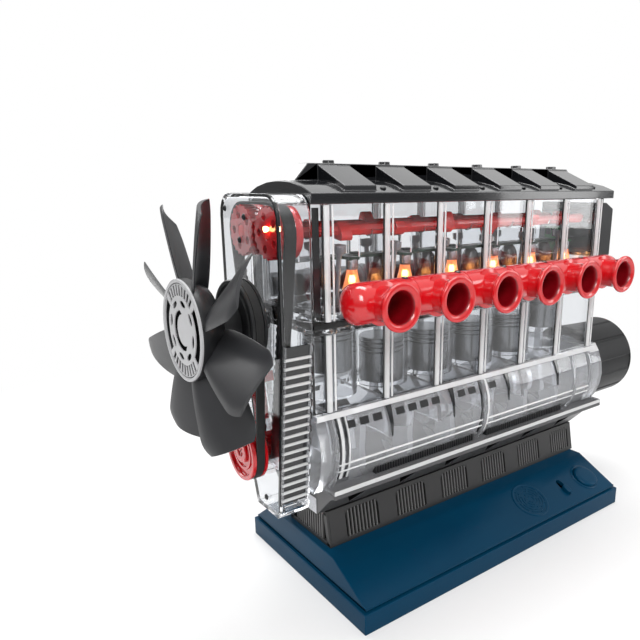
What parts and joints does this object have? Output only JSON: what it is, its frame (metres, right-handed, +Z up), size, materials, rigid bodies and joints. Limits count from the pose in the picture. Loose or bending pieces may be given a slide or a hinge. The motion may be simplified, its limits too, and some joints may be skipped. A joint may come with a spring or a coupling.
{
  "type": "four stroke engine model",
  "caption": "See-through desk model of an in-line four-stroke engine with working crank, pistons, camshafts, belts and fan on a console base with a speaker, slide switch and button.",
  "frame": {"origin": "centre of the base's underside, on the surface that it stands on", "axes": "+X along the crank from the fan to the bell housing, +Y from the intake side to the exhaust side, +Z up"},
  "size_m": [0.3243, 0.117, 0.2191],
  "materials": {
    "clear_plastic": "clear polystyrene, glossy",
    "gloss_black": "gloss",
    "matte_black": "satin",
    "red_plastic": "high gloss",
    "blue_plastic": "semi-gloss",
    "silver_plastic": "metallised plastic",
    "grey_plastic": "satin",
    "rubber": "matte",
    "steel": "plain",
    "board": "lacquered circuit board with translucent lamps"
  },
  "bodies": {
    "housing": {"base_plate": "blue_plastic", "base_cover": "blue_plastic", "battery_door": "blue_plastic", "speaker": "matte_black", "oil_pan": "matte_black", "bedplate": "matte_black", "crankcase": "clear_plastic", "cylinder_block": "clear_plastic", "cylinder_head": "clear_plastic", "valve_cover": "gloss_black", "timing_cover": "clear_plastic", "bell_housing": "matte_black", "rear_box": "matte_black", "intake_manifold": "red_plastic", "exhaust_manifold": "matte_black", "light_board": "board", "timing_belt": "rubber", "belt_guide": "red_plastic", "fan_belt": "rubber", "motor": "steel"},
    "crank": {"crankshaft": "silver_plastic", "crank_sprocket": "red_plastic", "crank_pulley": "red_plastic", "flywheel": "grey_plastic"},
    "dowel_a": {"flywheel_dowel_a": "steel"},
    "pistons_1_6": {"piston_1": "silver_plastic", "piston_6": "silver_plastic"},
    "rods_1_6": {"connecting_rod_1": "silver_plastic", "connecting_rod_6": "silver_plastic"},
    "dowel_b": {"flywheel_dowel_b": "steel"},
    "pistons_3_4": {"piston_3": "silver_plastic", "piston_4": "silver_plastic"},
    "rods_3_4": {"connecting_rod_3": "silver_plastic", "connecting_rod_4": "silver_plastic"},
    "dowel_c": {"flywheel_dowel_c": "steel"},
    "pistons_2_5": {"piston_2": "silver_plastic", "piston_5": "silver_plastic"},
    "rods_2_5": {"connecting_rod_2": "silver_plastic", "connecting_rod_5": "silver_plastic"},
    "intake_cam": {"intake_camshaft": "red_plastic", "intake_cam_sprocket": "red_plastic"},
    "exhaust_cam": {"exhaust_camshaft": "red_plastic", "exhaust_cam_sprocket": "red_plastic"},
    "fan_drive": {"fan": "matte_black", "fan_pulley": "matte_black"},
    "pinion": {"motor_pinion": "grey_plastic"},
    "button": {"start_button": "blue_plastic"},
    "switch": {"sound_switch": "blue_plastic"},
    "intake_valve_body_1": {"intake_valve_1": "steel"},
    "intake_valve_body_2": {"intake_valve_2": "steel"},
    "intake_valve_body_3": {"intake_valve_3": "steel"},
    "intake_valve_body_4": {"intake_valve_4": "steel"},
    "intake_valve_body_5": {"intake_valve_5": "steel"},
    "intake_valve_body_6": {"intake_valve_6": "steel"},
    "exhaust_valve_body_1": {"exhaust_valve_1": "steel"},
    "exhaust_valve_body_2": {"exhaust_valve_2": "steel"},
    "exhaust_valve_body_3": {"exhaust_valve_3": "steel"},
    "exhaust_valve_body_4": {"exhaust_valve_4": "steel"},
    "exhaust_valve_body_5": {"exhaust_valve_5": "steel"},
    "exhaust_valve_body_6": {"exhaust_valve_6": "steel"}
  },
  "joints": [
    {"name": "crank_spin", "type": "hinge", "parent": "housing", "child": "crank", "pos_m": [-0.001, 0, 0.0836], "axis": [1, 0, 0], "continuous": true},
    {"name": "dowel_a_turn", "type": "hinge", "parent": "crank", "child": "dowel_a", "pos_m": [0.1216, 0, 0.08735], "axis": [1, 0, 0], "continuous": true},
    {"name": "pistons_1_6_stroke", "type": "hinge", "parent": "dowel_a", "child": "pistons_1_6", "pos_m": [-0.001, 0, 0.0911], "axis": [1, 0, 0], "continuous": true},
    {"name": "rods_1_6_turn", "type": "hinge", "parent": "crank", "child": "rods_1_6", "pos_m": [-0.001, 0, 0.0911], "axis": [1, 0, 0], "continuous": true},
    {"name": "dowel_b_turn", "type": "hinge", "parent": "crank", "child": "dowel_b", "pos_m": [0.1216, -0.00325, 0.08173], "axis": [1, 0, 0], "continuous": true},
    {"name": "pistons_3_4_stroke", "type": "hinge", "parent": "dowel_b", "child": "pistons_3_4", "pos_m": [-0.001, 0, 0.07985], "axis": [1, 0, 0], "continuous": true},
    {"name": "rods_3_4_turn", "type": "hinge", "parent": "crank", "child": "rods_3_4", "pos_m": [-0.001, -0.0065, 0.07985], "axis": [1, 0, 0], "continuous": true},
    {"name": "dowel_c_turn", "type": "hinge", "parent": "crank", "child": "dowel_c", "pos_m": [0.1216, 0.00325, 0.08173], "axis": [1, 0, 0], "continuous": true},
    {"name": "pistons_2_5_stroke", "type": "hinge", "parent": "dowel_c", "child": "pistons_2_5", "pos_m": [-0.001, 0, 0.07985], "axis": [1, 0, 0], "continuous": true},
    {"name": "rods_2_5_turn", "type": "hinge", "parent": "crank", "child": "rods_2_5", "pos_m": [-0.001, 0.0065, 0.07985], "axis": [1, 0, 0], "continuous": true},
    {"name": "intake_cam_spin", "type": "hinge", "parent": "housing", "child": "intake_cam", "pos_m": [-0.001, -0.0126, 0.187], "axis": [1, 0, 0], "continuous": true},
    {"name": "exhaust_cam_spin", "type": "hinge", "parent": "housing", "child": "exhaust_cam", "pos_m": [-0.001, 0.0126, 0.187], "axis": [1, 0, 0], "continuous": true},
    {"name": "fan_spin", "type": "hinge", "parent": "housing", "child": "fan_drive", "pos_m": [-0.1335, 0, 0.1462], "axis": [1, 0, 0], "continuous": true},
    {"name": "motor_pinion_spin", "type": "hinge", "parent": "housing", "child": "pinion", "pos_m": [0.1294, 0, 0.0716], "axis": [1, 0, 0], "continuous": true},
    {"name": "button_press", "type": "slide", "parent": "housing", "child": "button", "axis": [0, -0.4382, 0.8989], "range_m": [-0.0015, 0], "stiffness_N_per_m": 600, "springref_m": 0.001},
    {"name": "switch_slide", "type": "slide", "parent": "housing", "child": "switch", "axis": [0, 0.8989, 0.4382], "range_m": [0, 0.005]},
    {"name": "intake_valve_1_lift", "type": "slide", "parent": "housing", "child": "intake_valve_body_1", "axis": [0, -0.1246, 0.9922], "range_m": [-0.002, 0], "stiffness_N_per_m": 120, "springref_m": 0.001},
    {"name": "intake_valve_2_lift", "type": "slide", "parent": "housing", "child": "intake_valve_body_2", "axis": [0, -0.1246, 0.9922], "range_m": [-0.002, 0], "stiffness_N_per_m": 120, "springref_m": 0.001},
    {"name": "intake_valve_3_lift", "type": "slide", "parent": "housing", "child": "intake_valve_body_3", "axis": [0, -0.1246, 0.9922], "range_m": [-0.002, 0], "stiffness_N_per_m": 120, "springref_m": 0.001},
    {"name": "intake_valve_4_lift", "type": "slide", "parent": "housing", "child": "intake_valve_body_4", "axis": [0, -0.1246, 0.9922], "range_m": [-0.002, 0], "stiffness_N_per_m": 120, "springref_m": 0.001},
    {"name": "intake_valve_5_lift", "type": "slide", "parent": "housing", "child": "intake_valve_body_5", "axis": [0, -0.1246, 0.9922], "range_m": [-0.002, 0], "stiffness_N_per_m": 120, "springref_m": 0.001},
    {"name": "intake_valve_6_lift", "type": "slide", "parent": "housing", "child": "intake_valve_body_6", "axis": [0, -0.1246, 0.9922], "range_m": [-0.002, 0], "stiffness_N_per_m": 120, "springref_m": 0.001},
    {"name": "exhaust_valve_1_lift", "type": "slide", "parent": "housing", "child": "exhaust_valve_body_1", "axis": [0, 0.1246, 0.9922], "range_m": [-0.002, 0], "stiffness_N_per_m": 120, "springref_m": 0.001},
    {"name": "exhaust_valve_2_lift", "type": "slide", "parent": "housing", "child": "exhaust_valve_body_2", "axis": [0, 0.1246, 0.9922], "range_m": [-0.002, 0], "stiffness_N_per_m": 120, "springref_m": 0.001},
    {"name": "exhaust_valve_3_lift", "type": "slide", "parent": "housing", "child": "exhaust_valve_body_3", "axis": [0, 0.1246, 0.9922], "range_m": [-0.002, 0], "stiffness_N_per_m": 120, "springref_m": 0.001},
    {"name": "exhaust_valve_4_lift", "type": "slide", "parent": "housing", "child": "exhaust_valve_body_4", "axis": [0, 0.1246, 0.9922], "range_m": [-0.002, 0], "stiffness_N_per_m": 120, "springref_m": 0.001},
    {"name": "exhaust_valve_5_lift", "type": "slide", "parent": "housing", "child": "exhaust_valve_body_5", "axis": [0, 0.1246, 0.9922], "range_m": [-0.002, 0], "stiffness_N_per_m": 120, "springref_m": 0.001},
    {"name": "exhaust_valve_6_lift", "type": "slide", "parent": "housing", "child": "exhaust_valve_body_6", "axis": [0, 0.1246, 0.9922], "range_m": [-0.002, 0], "stiffness_N_per_m": 120, "springref_m": 0.001}
  ],
  "couplings": [
    {"joint": "dowel_a_turn", "follows": "crank_spin", "ratio": -2},
    {"joint": "pistons_1_6_stroke", "follows": "crank_spin", "ratio": 1},
    {"joint": "rods_1_6_turn", "follows": "crank_spin", "ratio": -1},
    {"joint": "dowel_b_turn", "follows": "crank_spin", "ratio": -2},
    {"joint": "pistons_3_4_stroke", "follows": "crank_spin", "ratio": 1},
    {"joint": "rods_3_4_turn", "follows": "crank_spin", "ratio": -1},
    {"joint": "dowel_c_turn", "follows": "crank_spin", "ratio": -2},
    {"joint": "pistons_2_5_stroke", "follows": "crank_spin", "ratio": 1},
    {"joint": "rods_2_5_turn", "follows": "crank_spin", "ratio": -1},
    {"joint": "intake_cam_spin", "follows": "crank_spin", "ratio": 0.5},
    {"joint": "exhaust_cam_spin", "follows": "crank_spin", "ratio": 0.5},
    {"joint": "fan_spin", "follows": "crank_spin", "ratio": 0.7235},
    {"joint": "motor_pinion_spin", "follows": "crank_spin", "ratio": -3}
  ]
}
